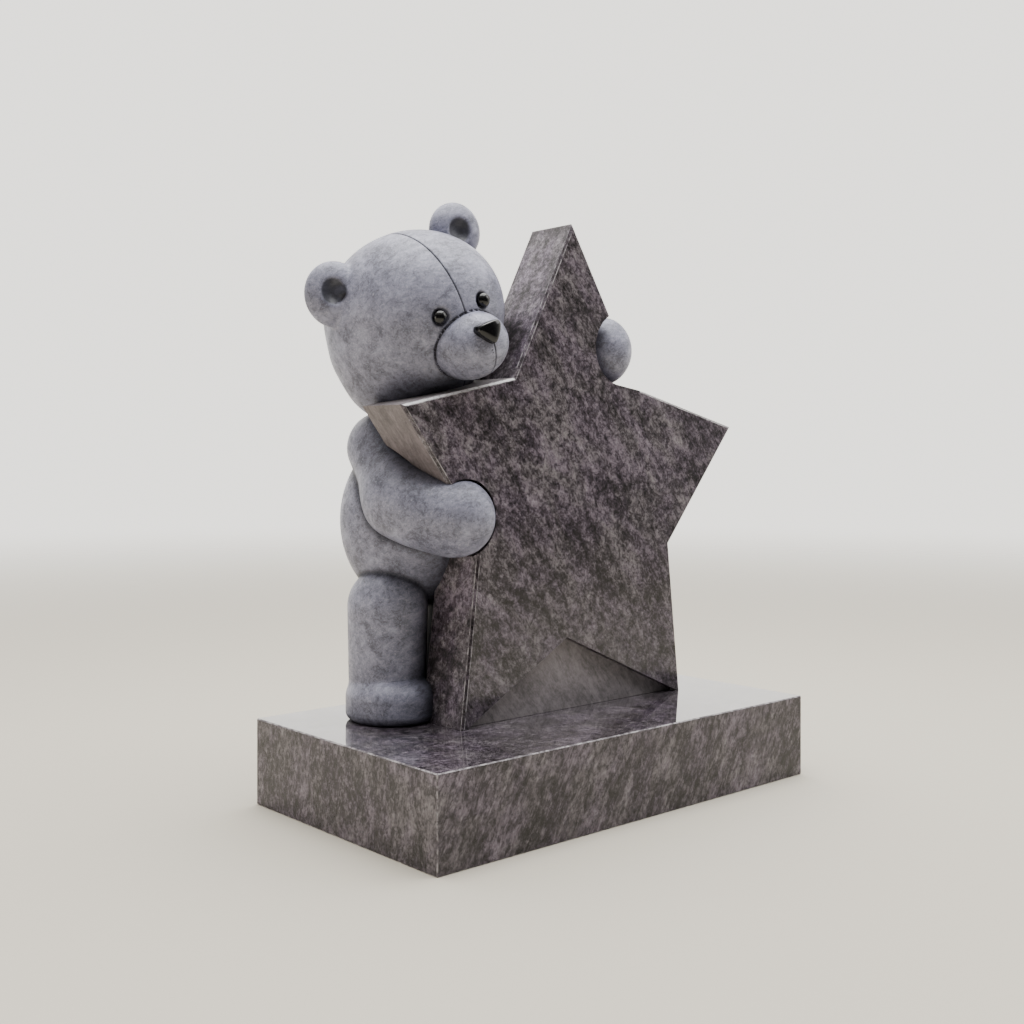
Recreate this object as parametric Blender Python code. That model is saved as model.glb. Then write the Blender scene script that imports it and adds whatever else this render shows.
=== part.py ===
"""Teddy bear headstone: a carved bear hugging a star-shaped slab, on a polished plinth.

Units are metres, +Z up. The origin is at the centre of the plinth's underside, the star's
face looks along -Y, and the bear stands behind the star's left side, on -X.
"""

import bpy
import bmesh
from math import cos, pi, radians, sin
from mathutils import Matrix, Vector

# Plinth, a sawn slab that lies flat
PLINTH_WIDTH = 0.600
PLINTH_DEPTH = 0.346
PLINTH_HEIGHT = 0.102
PLINTH_ARRIS = 0.0025
BED_JOINT = 0.0003

# Star slab, one block with the bear
STAR_WIDTH = 0.5664
STAR_HEIGHT = 0.595
STAR_THICKNESS = 0.077
STAR_LEFT_INSET = 0.0536
STAR_FACE_SETBACK = 0.1306
STAR_ARRIS = 0.003
PANEL_SETBACK = 0.012
SPARE = 0.02

# Corners of the star as shares of its width and height, clockwise from the left tip
STAR_CORNERS = {
    "left_tip": (0.0, 0.617),
    "left_notch": (0.290, 0.677),
    "apex": (0.460, 1.0),
    "right_notch": (0.677, 0.664),
    "right_tip": (1.0, 0.589),
    "right_waist": (0.772, 0.328),
    "right_foot": (0.810, 0.0),
    "left_foot": (0.150, 0.0),
    "left_waist": (0.197, 0.367),
}
CROTCH = (0.442, 0.151)

# Bear. Its own height is from the feet to the top of the higher ear
BEAR_HEIGHT = 0.625
HEAD_ROLL = radians(22)
HEAD_YAW = radians(-5.6)

# Places and half sizes on the head, as shares of the bear's height
SKULL_SHARES = (0.175, 0.168, 0.159)
CHEEKS = (((-0.038, 0.0, -0.035), 0.145), ((-0.062, 0.0, -0.072), 0.117))
CHIN = ((0.0, 0.0, -0.050), 0.125)
MUZZLE_SEAT = (0.0, -0.150, -0.072)
MUZZLE_SHARES = (0.073, 0.066, 0.062)
EARS = (((-0.148, -0.001, 0.088), 0.061), ((0.154, 0.010, 0.121), 0.057))
EAR_SHARE_THICK = 0.056
EAR_HOLLOWS = ((-0.1615, -0.028, 0.0970), (0.150, -0.018, 0.1225))
EAR_HOLLOW_SHARE = 0.024
EYE_SEAT = (0.050, -0.161, -0.003)
NOSE_SEAT = (0.003, -0.213, -0.051)

# Half sizes of the body, as shares of the bear's height
TORSO_SHARES = (0.152, 0.125, 0.173)
NEAR_PAW_SHARE = 0.0685
FAR_PAW_SHARES = (0.052, 0.058, 0.069)
HIP_SHARE = 0.076
ANKLE_SHARE = 0.073
FOOT_SHARES = (0.084, 0.092, 0.082)
FOOT_SPLAY = radians(4)

# Hollows around the paws, and the fit of the inlays
GROOVE = 0.006
INLAY_CLEARANCE = 0.0003
PAW_MERGE_DEPTH = 0.030
BITE_RADIUS = 0.046
BITE_DEPTH = 0.050

# A bar of a limb starts a little inside the ball that ends the bar before it
JOINT_STEP = 0.98

# Facets of the carved forms
HEAD_FACETS = 36
BODY_FACETS = 28
LIMB_FACETS = 20
SMALL_FACETS = 14

# Inlays
EYE_RADIUS = 0.0083
EYE_DEPTH = 0.0062
NOSE_WIDTH = 0.035
NOSE_HEIGHT = 0.027
NOSE_DEPTH = 0.012

# Reach of the cutting blocks, well past the stone on every side
PAST = 2.0

# Levels and planes that follow from the sizes
BED_Z = PLINTH_HEIGHT + BED_JOINT
FACE_Y = STAR_FACE_SETBACK - PLINTH_DEPTH / 2
BACK_Y = FACE_Y + STAR_THICKNESS
MIDDLE_Y = FACE_Y + STAR_THICKNESS / 2
STAR_LEFT_X = -PLINTH_WIDTH / 2 + STAR_LEFT_INSET


def clear_scene():
    for obj in list(bpy.data.objects):
        bpy.data.objects.remove(obj, do_unlink=True)


def stone(name, colour, roughness):
    material = bpy.data.materials.new(name)
    material.use_nodes = True
    shader = material.node_tree.nodes["Principled BSDF"]
    shader.inputs["Base Color"].default_value = (*colour, 1.0)
    shader.inputs["Roughness"].default_value = roughness
    shader.inputs["Metallic"].default_value = 0.0
    material.diffuse_color = (*colour, 1.0)
    return material


def make_object(name, bm, material=None):
    mesh = bpy.data.meshes.new(name)
    bmesh.ops.recalc_face_normals(bm, faces=bm.faces)
    bm.to_mesh(mesh)
    bm.free()
    obj = bpy.data.objects.new(name, mesh)
    bpy.context.collection.objects.link(obj)
    if material:
        mesh.materials.append(material)
    return obj


def star_point(share, y=0.0):
    """A point of the star's outline from its shares of width and height."""
    return Vector((STAR_LEFT_X + share[0] * STAR_WIDTH, y, BED_Z + share[1] * STAR_HEIGHT))


def along(corner_a, corner_b, share):
    """A point part of the way from one corner of the star to another."""
    return star_point(STAR_CORNERS[corner_a]).lerp(star_point(STAR_CORNERS[corner_b]), share)


def bear(share):
    """A length of the bear from its share of the bear's height."""
    return share * BEAR_HEIGHT


def bears(shares):
    """Several lengths of the bear from their shares of its height."""
    return [bear(share) for share in shares]


def prism(outline, y_front, y_back):
    """A closed block between two planes across Y, from a list of outline points."""
    bm = bmesh.new()
    front = [bm.verts.new((p.x, y_front, p.z)) for p in outline]
    face = bm.faces.new(front)
    extruded = bmesh.ops.extrude_face_region(bm, geom=[face])
    back = [v for v in extruded["geom"] if isinstance(v, bmesh.types.BMVert)]
    bmesh.ops.translate(bm, verts=back, vec=(0.0, y_back - y_front, 0.0))
    bmesh.ops.recalc_face_normals(bm, faces=bm.faces)
    return bm


def chamfer(bm, edges, width):
    """Take a flat arris off the given edges."""
    bmesh.ops.bevel(
        bm,
        geom=edges,
        offset=width,
        offset_type="OFFSET",
        segments=1,
        profile=0.5,
        affect="EDGES",
    )


def block(low, high, name="block"):
    """A plain box between two corners."""
    bm = bmesh.new()
    bmesh.ops.create_cube(bm, size=1.0)
    low, high = Vector(low), Vector(high)
    size = high - low
    bmesh.ops.scale(bm, vec=size, verts=bm.verts)
    bmesh.ops.translate(bm, vec=(low + high) / 2, verts=bm.verts)
    return make_object(name, bm)


def ellipsoid(centre, radii, turn=None, facets=BODY_FACETS, grow=0.0):
    """A closed ball form with three radii, turned about its centre."""
    bm = bmesh.new()
    bmesh.ops.create_uvsphere(bm, u_segments=facets, v_segments=facets // 2, radius=1.0)
    bmesh.ops.scale(bm, vec=Vector(radii) + Vector((grow, grow, grow)), verts=bm.verts)
    if turn:
        bmesh.ops.rotate(bm, matrix=turn, cent=(0.0, 0.0, 0.0), verts=bm.verts)
    bmesh.ops.translate(bm, vec=centre, verts=bm.verts)
    return make_object("ball", bm)


def capsule(start, end, start_radius, end_radius, grow=0.0, facets=LIMB_FACETS):
    """A tapered round bar between two points, with a half ball at each end."""
    way = (end - start).normalized()
    cap_rings = facets // 4
    profile = []
    for k in range(cap_rings + 1):
        angle = pi / 2 * k / cap_rings
        radius = start_radius + grow
        profile.append((sin(angle) * radius, -cos(angle) * radius))
    length = (end - start).length
    for k in range(cap_rings + 1):
        angle = pi / 2 * k / cap_rings
        radius = end_radius + grow
        profile.append((cos(angle) * radius, length + sin(angle) * radius))
    profile[0] = (0.0, profile[0][1])
    profile[-1] = (0.0, profile[-1][1])
    bm = turned(profile, facets)
    bmesh.ops.rotate(
        bm, matrix=way.to_track_quat("Z", "Y").to_matrix(), cent=(0, 0, 0), verts=bm.verts
    )
    bmesh.ops.translate(bm, vec=start, verts=bm.verts)
    return make_object("capsule", bm)


def turned(profile, facets):
    """A closed form turned about Z from a profile of (radius, height) pairs."""
    bm = bmesh.new()
    verts = [bm.verts.new((radius, 0.0, height)) for radius, height in profile]
    edges = [bm.edges.new(pair) for pair in zip(verts, verts[1:])]
    bmesh.ops.spin(
        bm,
        geom=verts + edges,
        cent=(0.0, 0.0, 0.0),
        axis=(0.0, 0.0, 1.0),
        angle=2 * pi,
        steps=facets,
        use_merge=True,
    )
    bmesh.ops.remove_doubles(bm, verts=bm.verts, dist=0.00005)
    return bm


def limb(points, radii, grow=0.0):
    """The tapered bars of a limb that runs through the points, with a radius at each."""
    bars = []
    for start, end, start_radius, end_radius in zip(points, points[1:], radii, radii[1:]):
        inner_start = start_radius if not bars else start_radius * JOINT_STEP
        bars.append(capsule(start, end, inner_start, end_radius, grow))
    return bars


def foot(centre, half_width, half_length, height, turn):
    """A rounded pad, flat below, wider than it is high."""
    toe = height * 0.5
    heel = height * 0.16
    heel_rise = heel * 0.2
    profile = [(0.0, -heel_rise)]
    for k in range(4):
        angle = pi / 2 * k / 3
        reach = 1.0 - heel / half_width * (1 - sin(angle))
        profile.append((reach, heel * (1 - cos(angle)) - heel_rise))
    for k in range(7):
        angle = pi / 2 * k / 6
        reach = 1.0 - toe * 1.1 / half_width * (1 - cos(angle))
        profile.append((reach, height - toe * (1 - sin(angle))))
    profile.append((0.0, height + toe * 0.1))
    bm = turned([(reach * half_width, z) for reach, z in profile], LIMB_FACETS)
    bmesh.ops.scale(bm, vec=(1.0, half_length / half_width, 1.0), verts=bm.verts)
    bmesh.ops.rotate(bm, matrix=Matrix.Rotation(turn, 3, "Z"), cent=(0, 0, 0), verts=bm.verts)
    bmesh.ops.translate(bm, vec=centre, verts=bm.verts)
    return make_object("pad", bm)


def combine(target, tools, operation):
    """Join the tools to the target, or cut them from it, and remove them.

    The round forms graze each other in thin slivers, where the exact solver leaves holes, so
    the cuts use the manifold solver, which keeps a closed block closed.
    """
    for tool in tools:
        change = target.modifiers.new(operation, "BOOLEAN")
        change.operation = operation
        change.solver = "MANIFOLD"
        change.object = tool
        graph = bpy.context.evaluated_depsgraph_get()
        result = bpy.data.meshes.new_from_object(target.evaluated_get(graph))
        target.modifiers.clear()
        target.data = result
        bpy.data.objects.remove(tool, do_unlink=True)
    return target


def finish(obj, name, material, angle=35):
    """Give a finished piece its name, its stone and smooth round faces."""
    obj.name = name
    obj.data.name = name
    obj.data.materials.clear()
    obj.data.materials.append(material)
    obj.data.shade_smooth()
    obj.data.set_sharp_from_angle(angle=radians(angle))
    return obj


def build_plinth(material):
    low = (-PLINTH_WIDTH / 2, -PLINTH_DEPTH / 2, 0.0)
    high = (PLINTH_WIDTH / 2, PLINTH_DEPTH / 2, PLINTH_HEIGHT)
    plinth = block(low, high, "plinth")
    bm = bmesh.new()
    bm.from_mesh(plinth.data)
    chamfer(bm, list(bm.edges), PLINTH_ARRIS)
    bm.to_mesh(plinth.data)
    bm.free()
    return finish(plinth, "plinth", material)


def build_slab():
    """The star with its arrises and the set-back panel between its feet."""
    outline = []
    for name, share in STAR_CORNERS.items():
        corner = star_point(share)
        if name in ("left_foot", "right_foot"):
            waist = star_point(STAR_CORNERS[name.replace("foot", "waist")])
            corner += (corner - waist).normalized() * SPARE
        outline.append(corner)
    bm = prism(outline, FACE_Y, BACK_Y)
    around = [e for e in bm.edges if abs(e.verts[0].co.y - e.verts[1].co.y) < STAR_ARRIS]
    chamfer(bm, around, STAR_ARRIS)
    slab = make_object("slab", bm)
    crotch = star_point(CROTCH)
    toe = Vector((STAR_ARRIS * 2, 0.0, 0.0))
    left = star_point(STAR_CORNERS["left_foot"]) + toe
    right = star_point(STAR_CORNERS["right_foot"]) - toe
    panel = [
        left + (left - crotch).normalized() * SPARE * 4,
        crotch,
        right + (right - crotch).normalized() * SPARE * 4,
    ]
    front = make_object("recess", prism(panel, FACE_Y - SPARE, FACE_Y + PANEL_SETBACK))
    back = make_object("recess", prism(panel, BACK_Y - PANEL_SETBACK, BACK_Y + SPARE))
    return combine(slab, [front, back], "DIFFERENCE")


def head_frame():
    """The head's centre and turn: its chin lies on the star's arm, its cheek on the spike."""
    notch = star_point(STAR_CORNERS["left_notch"])
    centre = Vector((notch.x - bear(0.120), BACK_Y + bear(0.028), notch.z + bear(0.121)))
    turn = Matrix.Rotation(HEAD_YAW, 3, "Z") @ Matrix.Rotation(-HEAD_ROLL, 3, "Y")
    return centre, turn


def head_point(x, y, z):
    """A place on the head from its shares: x to the bear's left, y to the back, z up."""
    centre, turn = head_frame()
    return centre + turn @ Vector((bear(x), bear(y), bear(z)))


def near_arm():
    """Points and radii of the arm that comes under the star's left arm to its face."""
    waist = star_point(STAR_CORNERS["left_waist"])
    shoulder = Vector((waist.x - bear(0.073), BACK_Y + bear(0.076), waist.z + bear(0.163)))
    elbow = Vector((waist.x - bear(0.100), MIDDLE_Y + bear(0.048), waist.z + bear(0.066)))
    wrist = Vector((waist.x - bear(0.078), MIDDLE_Y - bear(0.002), waist.z + bear(0.045)))
    paw = Vector((waist.x - bear(0.032), FACE_Y + bear(0.032), waist.z + bear(0.035)))
    radii = [bear(0.070), bear(0.060), bear(0.057), bear(0.062)]
    return [shoulder, elbow, wrist, paw], radii


def far_arm():
    """Points and radii of the arm that goes behind the spike to its right edge."""
    body = body_centre()
    shoulder = Vector((body.x + bear(0.100), BACK_Y + bear(0.090), body.z + bear(0.155)))
    elbow = Vector((body.x + bear(0.235), BACK_Y + bear(0.062), body.z + bear(0.230)))
    paw = far_paw_centre()
    wrist = Vector((paw.x - bear(0.020), BACK_Y + bear(0.010), paw.z - bear(0.022)))
    radii = [bear(0.070), bear(0.058), bear(0.055), bear(0.050)]
    return [shoulder, elbow, wrist, paw], radii


def far_paw_centre():
    edge = along("apex", "right_notch", 0.745)
    return Vector((edge.x, MIDDLE_Y - bear(0.002), edge.z))


def body_centre():
    foot_corner = star_point(STAR_CORNERS["left_foot"])
    return Vector((foot_corner.x + bear(0.041), BACK_Y + bear(0.073), BED_Z + bear(0.376)))


def build_bear_forms():
    """The rounded forms of the bear, before they are joined to the slab."""
    centre, turn = head_frame()
    body = body_centre()
    forms = [
        ellipsoid(centre, bears(SKULL_SHARES), turn, HEAD_FACETS),
        ellipsoid(head_point(*CHEEKS[0][0]), [bear(CHEEKS[0][1])] * 3, turn, HEAD_FACETS),
        ellipsoid(head_point(*CHEEKS[1][0]), [bear(CHEEKS[1][1])] * 3, turn),
        ellipsoid(head_point(*CHIN[0]), [bear(CHIN[1])] * 3, turn),
        ellipsoid(head_point(*MUZZLE_SEAT), bears(MUZZLE_SHARES), turn),
        ellipsoid(body, bears(TORSO_SHARES)),
    ]
    for place, radius in EARS:
        radii = bears((radius, EAR_SHARE_THICK / 2, radius))
        forms.append(ellipsoid(head_point(*place), radii, turn, LIMB_FACETS))
    for points, radii in (near_arm(), far_arm()):
        forms += limb(points, radii)
    arm, _ = near_arm()
    forms.append(ellipsoid(arm[-1], [bear(NEAR_PAW_SHARE)] * 3))
    forms.append(ellipsoid(far_paw_centre(), bears(FAR_PAW_SHARES)))
    for side in (-1, 1):
        x = body.x + bear(0.009) + side * bear(0.078)
        y = BACK_Y + bear(0.068)
        hip = Vector((x + side * bear(0.012), y - bear(0.018), BED_Z + bear(0.214)))
        ankle = Vector((x, y, BED_Z + bear(0.055)))
        forms.append(capsule(hip, ankle, bear(HIP_SHARE), bear(ANKLE_SHARE)))
        toe = Vector((x + side * bear(0.003), y - bear(0.017), BED_Z))
        forms.append(foot(toe, *bears(FOOT_SHARES), side * FOOT_SPLAY))
    return forms


def paw_seats():
    """Hollows cut in the slab around the near paw and forearm, and for the far paw."""
    arm, radii = near_arm()
    paw = ellipsoid(arm[-1], [bear(NEAR_PAW_SHARE)] * 3, grow=GROOVE)
    depth_limit = block((-PAST, FACE_Y + PAW_MERGE_DEPTH, -PAST), (PAST, PAST, PAST))
    paw_groove = combine(paw, [depth_limit], "DIFFERENCE")
    channel = limb(arm[:3], radii[:3], GROOVE)
    bite = make_object("bite", prism(bite_outline(), FACE_Y - GROOVE, FACE_Y + BITE_DEPTH))
    return [paw_groove, bite] + channel


def bite_outline():
    """The hollow for the far paw: an arc into the spike that runs out over the right arm."""
    centre = far_paw_centre() - Vector((bear(0.010), 0.0, 0.0))
    steps = BODY_FACETS // 2
    outline = []
    for k in range(steps + 1):
        angle = pi * (0.45 + 1.0 * k / steps)
        outline.append(centre + Vector((cos(angle), 0.0, sin(angle))) * BITE_RADIUS)
    arm_edge = along("right_notch", "right_tip", 0.06)
    clear = Vector((0.0, 0.0, BITE_RADIUS * 2))
    return outline + [arm_edge, arm_edge + clear]


def ear_hollows():
    """Dished hollows in the fronts of the ears."""
    turn = head_frame()[1]
    hollows = []
    for place in EAR_HOLLOWS:
        radius = bear(EAR_HOLLOW_SHARE)
        radii = (radius, radius * 0.6, radius)
        hollows.append(ellipsoid(head_point(*place), radii, turn, LIMB_FACETS))
    return hollows


def eye(side, grow=0.0):
    """One eye: a small glossy dome set into the head."""
    x, y, z = EYE_SEAT
    radii = (EYE_RADIUS, EYE_DEPTH, EYE_RADIUS)
    return ellipsoid(head_point(side * x, y, z), radii, head_frame()[1], SMALL_FACETS, grow)


def nose(grow=0.0):
    """The nose: a domed rounded triangle, wide above and narrow below."""
    bm = bmesh.new()
    bmesh.ops.create_uvsphere(bm, u_segments=SMALL_FACETS, v_segments=12, radius=1.0)
    for vert in bm.verts:
        narrow = 1.0 - 0.42 * max(0.0, 0.35 - vert.co.z)
        flat_top = min(vert.co.z, 0.62 + 0.25 * (vert.co.z - 0.62))
        vert.co = Vector((vert.co.x * narrow, vert.co.y, flat_top))
    size = Vector((NOSE_WIDTH / 2, NOSE_DEPTH, NOSE_HEIGHT / 2 * 1.15))
    bmesh.ops.scale(bm, vec=size + Vector((grow, grow, grow)), verts=bm.verts)
    bmesh.ops.rotate(bm, matrix=head_frame()[1], cent=(0, 0, 0), verts=bm.verts)
    bmesh.ops.translate(bm, vec=head_point(*NOSE_SEAT), verts=bm.verts)
    return make_object("nose", bm)


def build_carving(material):
    """The star and the bear, carved from one block, with sockets for the inlays."""
    slab = combine(build_slab(), paw_seats(), "DIFFERENCE")
    carving = combine(slab, build_bear_forms(), "UNION")
    bed = block((-PAST, -PAST, -PAST), (PAST, PAST, BED_Z))
    sockets = [eye(-1, INLAY_CLEARANCE), eye(1, INLAY_CLEARANCE), nose(INLAY_CLEARANCE)]
    combine(carving, [bed] + ear_hollows() + sockets, "DIFFERENCE")
    return finish(carving, "bear_and_star", material)


def build():
    clear_scene()
    polished = stone("polished_granite", (0.115, 0.108, 0.128), 0.18)
    honed = stone("part_polished_granite", (0.26, 0.25, 0.28), 0.45)
    black = stone("polished_black_inlay", (0.006, 0.006, 0.007), 0.05)
    build_plinth(polished)
    build_carving(honed)
    finish(eye(-1), "eye_right", black)
    finish(eye(1), "eye_left", black)
    finish(nose(), "nose", black)


build()
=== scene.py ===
# Teddy bear headstone
# A carved bear hugs a star-shaped slab on a polished plinth. The CAD model gives the stones
# their size and place; this script gives them their carving, arrises and finish.

from math import cos, pi, radians, sin

import bmesh
import bpy
import numpy as np
from bpy.props import FloatProperty, FloatVectorProperty, PointerProperty
from mathutils import Matrix, Vector


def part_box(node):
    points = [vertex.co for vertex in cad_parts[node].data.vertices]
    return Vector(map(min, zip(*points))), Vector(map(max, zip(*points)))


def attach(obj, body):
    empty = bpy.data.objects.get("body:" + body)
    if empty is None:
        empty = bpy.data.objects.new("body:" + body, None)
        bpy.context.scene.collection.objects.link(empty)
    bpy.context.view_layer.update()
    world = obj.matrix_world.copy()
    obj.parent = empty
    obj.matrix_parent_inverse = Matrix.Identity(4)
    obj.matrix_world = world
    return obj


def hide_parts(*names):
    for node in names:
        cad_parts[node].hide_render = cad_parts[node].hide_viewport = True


bl_info = {
    "name": "Teddy bear headstone",
    "version": (1, 0, 0),
    "blender": (4, 5, 0),
    "location": "View3D > Sidebar > Headstone",
    "description": "Dresses a carved granite headstone: a bear that hugs a star on a plinth",
    "category": "Add Mesh",
}

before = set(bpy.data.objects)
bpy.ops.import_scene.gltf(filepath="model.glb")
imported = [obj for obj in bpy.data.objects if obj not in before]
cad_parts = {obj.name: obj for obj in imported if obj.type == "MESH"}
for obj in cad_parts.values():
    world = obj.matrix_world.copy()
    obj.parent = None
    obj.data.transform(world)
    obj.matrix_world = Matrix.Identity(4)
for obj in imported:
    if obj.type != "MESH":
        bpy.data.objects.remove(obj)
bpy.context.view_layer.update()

# Sizes that repeat the stone's own
PLINTH_LOW, PLINTH_HIGH = (Vector(corner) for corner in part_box("plinth"))
CARVING_LOW, CARVING_HIGH = (Vector(corner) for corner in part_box("bear_and_star"))
BED_Z = CARVING_LOW.z
STAR_WIDTH = 0.5664
STAR_HEIGHT = 0.595
STAR_THICKNESS = 0.077
STAR_LEFT_X = PLINTH_LOW.x + 0.0536
FACE_Y = PLINTH_LOW.y + 0.1306
BACK_Y = FACE_Y + STAR_THICKNESS
MIDDLE_Y = FACE_Y + STAR_THICKNESS / 2
PANEL_SETBACK = 0.012
SPARE = 0.02
FOOT_TOE = 0.006

# Corners of the star as shares of its width and height, clockwise from the left tip
STAR_CORNERS = {
    "left_tip": (0.0, 0.617),
    "left_notch": (0.290, 0.677),
    "apex": (0.460, 1.0),
    "right_notch": (0.677, 0.664),
    "right_tip": (1.0, 0.589),
    "right_waist": (0.772, 0.328),
    "right_foot": (0.810, 0.0),
    "left_foot": (0.150, 0.0),
    "left_waist": (0.197, 0.367),
}
CROTCH = (0.442, 0.151)

# Bear: its height from the feet to the top of the higher ear, and its forms as shares of that
BEAR_HEIGHT = 0.625
HEAD_ROLL = radians(22)
HEAD_YAW = radians(-5.6)
SKULL_BALLS = (
    ((0.0, 0.0, 0.0), (0.175, 0.168, 0.159)),
    ((-0.038, 0.0, -0.035), (0.145, 0.145, 0.145)),
    ((-0.062, 0.0, -0.072), (0.117, 0.117, 0.117)),
    ((0.0, 0.0, -0.050), (0.125, 0.125, 0.125)),
)
EARS = (((-0.148, -0.001, 0.088), 0.061), ((0.154, 0.010, 0.121), 0.057))
EAR_THICKNESS = 0.056
EAR_DISHES = ((-0.1615, -0.028, 0.0970), (0.150, -0.018, 0.1225))
EYE_SEAT = (0.050, -0.161, -0.003)
EYE_RIM = 0.018
MUZZLE_SEAT = (0.0, -0.150, -0.072)
MUZZLE_SHARES = (0.073, 0.066, 0.062)
NOSE_SEAT = (0.003, -0.213, -0.051)
MOUTH_X = 0.006
MOUTH_FRONT = -0.16
MOUTH_TOP = -0.055
TORSO_SHARES = (0.152, 0.125, 0.173)
HIP_SHARE = 0.076
ANKLE_SHARE = 0.073
FOOT_SHARES = (0.084, 0.092, 0.082)
FOOT_SPLAY = radians(4)
PAW_SHARE = 0.0685
FAR_PAW_SHARES = (0.052, 0.058, 0.069)

# Softness of the creases round the ears, the muzzle and the body's forms, as shares of a crease
EAR_CREASE, MUZZLE_CREASE, BODY_CREASE = 1.6, 0.5, 0.6

# Place of the far paw, as a share of the spike's right edge from the apex down
FAR_PAW_PLACE = 0.745

# Hollows for the paws, in metres
GROOVE = 0.006
PAW_MERGE_DEPTH = 0.030
BITE_RADIUS = 0.046
BITE_DEPTH = 0.050

# Black inlays, in metres
EYE_RADIUS = 0.0083
EYE_DEPTH = 0.0062
NOSE_SIZE = (0.0168, 0.0106, 0.0150)

# Strength of the painted shade in the body's creases and on the skin beside the star, as shares of
# the darkest seam
CREASE_PAINTED_SHADE = 0.72
BODY_PAINTED_SHADE = 0.34
HEAD_PAINTED_SHADE = 0.28

# Distances from a seam within which the skin gets finer squares, and the turn of a sharp edge
SEAM_BANDS = (0.0046, 0.0027)
SHARP_TURN = radians(20)

# Order of the materials on the star's slab and on the plinth
POLISHED, EDGE_HIGHLIGHT, HONED, ARRIS, SAWN, SIDE = range(6)
PLINTH_TOP = 2

# Way the crystals run: turns that bring +Z onto the flow of each block
STAR_FLOW = (0.0, radians(140), 0.0)
PLINTH_FLOW = (radians(8), radians(27), 0.0)
HATCH_FLOW = (0.0, radians(80), radians(15))


def linear(hex_colour):
    """An sRGB colour such as "#6b6570" as the linear numbers that shaders read."""
    parts = [int(hex_colour[k:k + 2], 16) / 255 for k in (1, 3, 5)]
    return tuple(c / 12.92 if c <= 0.04045 else ((c + 0.055) / 1.055) ** 2.4 for c in parts)


def colour_property(name, description, hex_colour):
    """A colour for the sidebar, from its sRGB value."""
    return FloatVectorProperty(
        name=name,
        description=description,
        default=linear(hex_colour),
        subtype="COLOR",
        size=3,
        min=0.0,
        max=1.0,
    )


def length_property(name, description, metres):
    """A length for the sidebar."""
    return FloatProperty(
        name=name, description=description, default=metres, min=0.0, unit="LENGTH", precision=4
    )


class HeadstoneSizes(bpy.types.PropertyGroup):
    """Sizes of the carving's finer marks."""

    chamfer: length_property("Arris", "Width of the flat arris along the star's edges", 0.003)
    plinth_chamfer: length_property("Plinth arris", "Width of the plinth's arrises", 0.0012)
    edge_highlight: length_property("Bruised edge", "Width of the light line along each cut edge", 0.0006)
    head_cell: length_property("Head mesh", "Distance between points on the head", 0.00195)
    body_cell: length_property("Body mesh", "Distance between points on the body", 0.0023)
    seam_width: length_property("Seam width", "Width of the carved seams", 0.0020)
    seam_depth: length_property("Seam depth", "Depth of the carved seams", 0.0014)
    ring_ease: length_property("Ring ease", "Extra half width of the muzzle's seam", 0.00055)
    crease: length_property("Crease", "Softness of the crease where two forms meet", 0.003)
    # The next three widths spread painted shade: in a crease, between the legs and by the star
    crease_shade: length_property("Crease shade", "Width of the unrubbed stone in a crease", 0.006)
    leg_shade: length_property("Leg shade", "Width of the unrubbed stone between the legs", 0.06)
    star_shade: length_property("Star shade", "Width of the unrubbed stone by the star", 0.042)
    ear_dish: length_property("Ear dish", "Radius of the dished hollow in an ear", 0.0145)


class HeadstoneColours(bpy.types.PropertyGroup):
    """Colours of the stones."""

    crystal_dark: colour_property("Dark crystals", "Hornblende and biotite, polished", "#282527")
    crystal_mid: colour_property("Ground", "Ground mass of the polished granite", "#4e474f")
    crystal_light: colour_property("Light crystals", "Feldspar of the polished granite", "#7e767f")
    crystal_pale: colour_property("Pale crystals", "Quartz and pale feldspar", "#9d969d")
    honed_dark: colour_property("Honed dark", "Dark clouds of the honed granite", "#606171")
    honed_light: colour_property("Honed light", "Light clouds of the honed granite", "#a3a4ba")
    honed_fleck: colour_property("Honed flecks", "Feldspar flecks brushed by the grit", "#bfbfce")
    # Pale colour of the painted highlight along the cut edges
    edge_highlight_colour: colour_property("Bruised edge", "Crushed crystals along a cut edge", "#a5a1a6")
    # Near white: the ground arris's paler stone with a painted reflection of the sky on it
    arris: colour_property("Ground arris", "Unpolished arris on the star's left arm", "#e6e5e8")
    panel: colour_property("Panel", "Honed set-back panels between the star's feet", "#989195")
    sawn: colour_property("Sawn face", "Sawn underside of the star's left arm", "#80777a")
    inlay: colour_property("Inlay", "Black stone of the eyes and the nose", "#0c0c0e")
    floor: colour_property("Floor", "Plain studio floor", "#cbc5b8")


class HeadstoneStudio(bpy.types.PropertyGroup):
    """Camera and light."""

    lens: FloatProperty(name="Lens", description="Focal length in millimetres", default=43.99)
    shift: FloatProperty(name="Shift", description="Upward shift of the lens", default=-0.0571)
    key: FloatProperty(name="Key light", description="Power of the overhead light", default=68.0)
    far_wall: FloatProperty(name="Far wall", description="Light from the far wall", default=2.2)
    near_wall: FloatProperty(name="Near wall", description="Light from the near wall", default=0.04)
    ceiling: FloatProperty(name="Ceiling", description="Light from the ceiling", default=1.0)


# The picture is taken from the front left, level, with a shifted lens
VIEW_TURN = radians(-41.6)
CAMERA_PLACE = (-1.0588, -1.1379, 0.4160)
AIM = (0.0, 0.0, 0.4)
FLOOR_RADIUS = 14.0
ROOM_COLOUR = "#fbf8f1"

# Softboxes: name, place, side, share of the key light's power, and colour
SOFTBOXES = (
    ("key", (0.1, -0.1, 2.3), 2.0, 1.0, "#ffffff"),
    ("window", (-2.3, 0.6, 0.3), 1.2, 0.2, "#fff6ea"),
    ("fill", (1.6, -1.2, 1.8), 1.0, 0.12, "#ffffff"),
)

# Places on the stone


def star_point(share, y=0.0):
    """A point of the star's outline from its shares of width and height."""
    return Vector((STAR_LEFT_X + share[0] * STAR_WIDTH, y, BED_Z + share[1] * STAR_HEIGHT))


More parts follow.
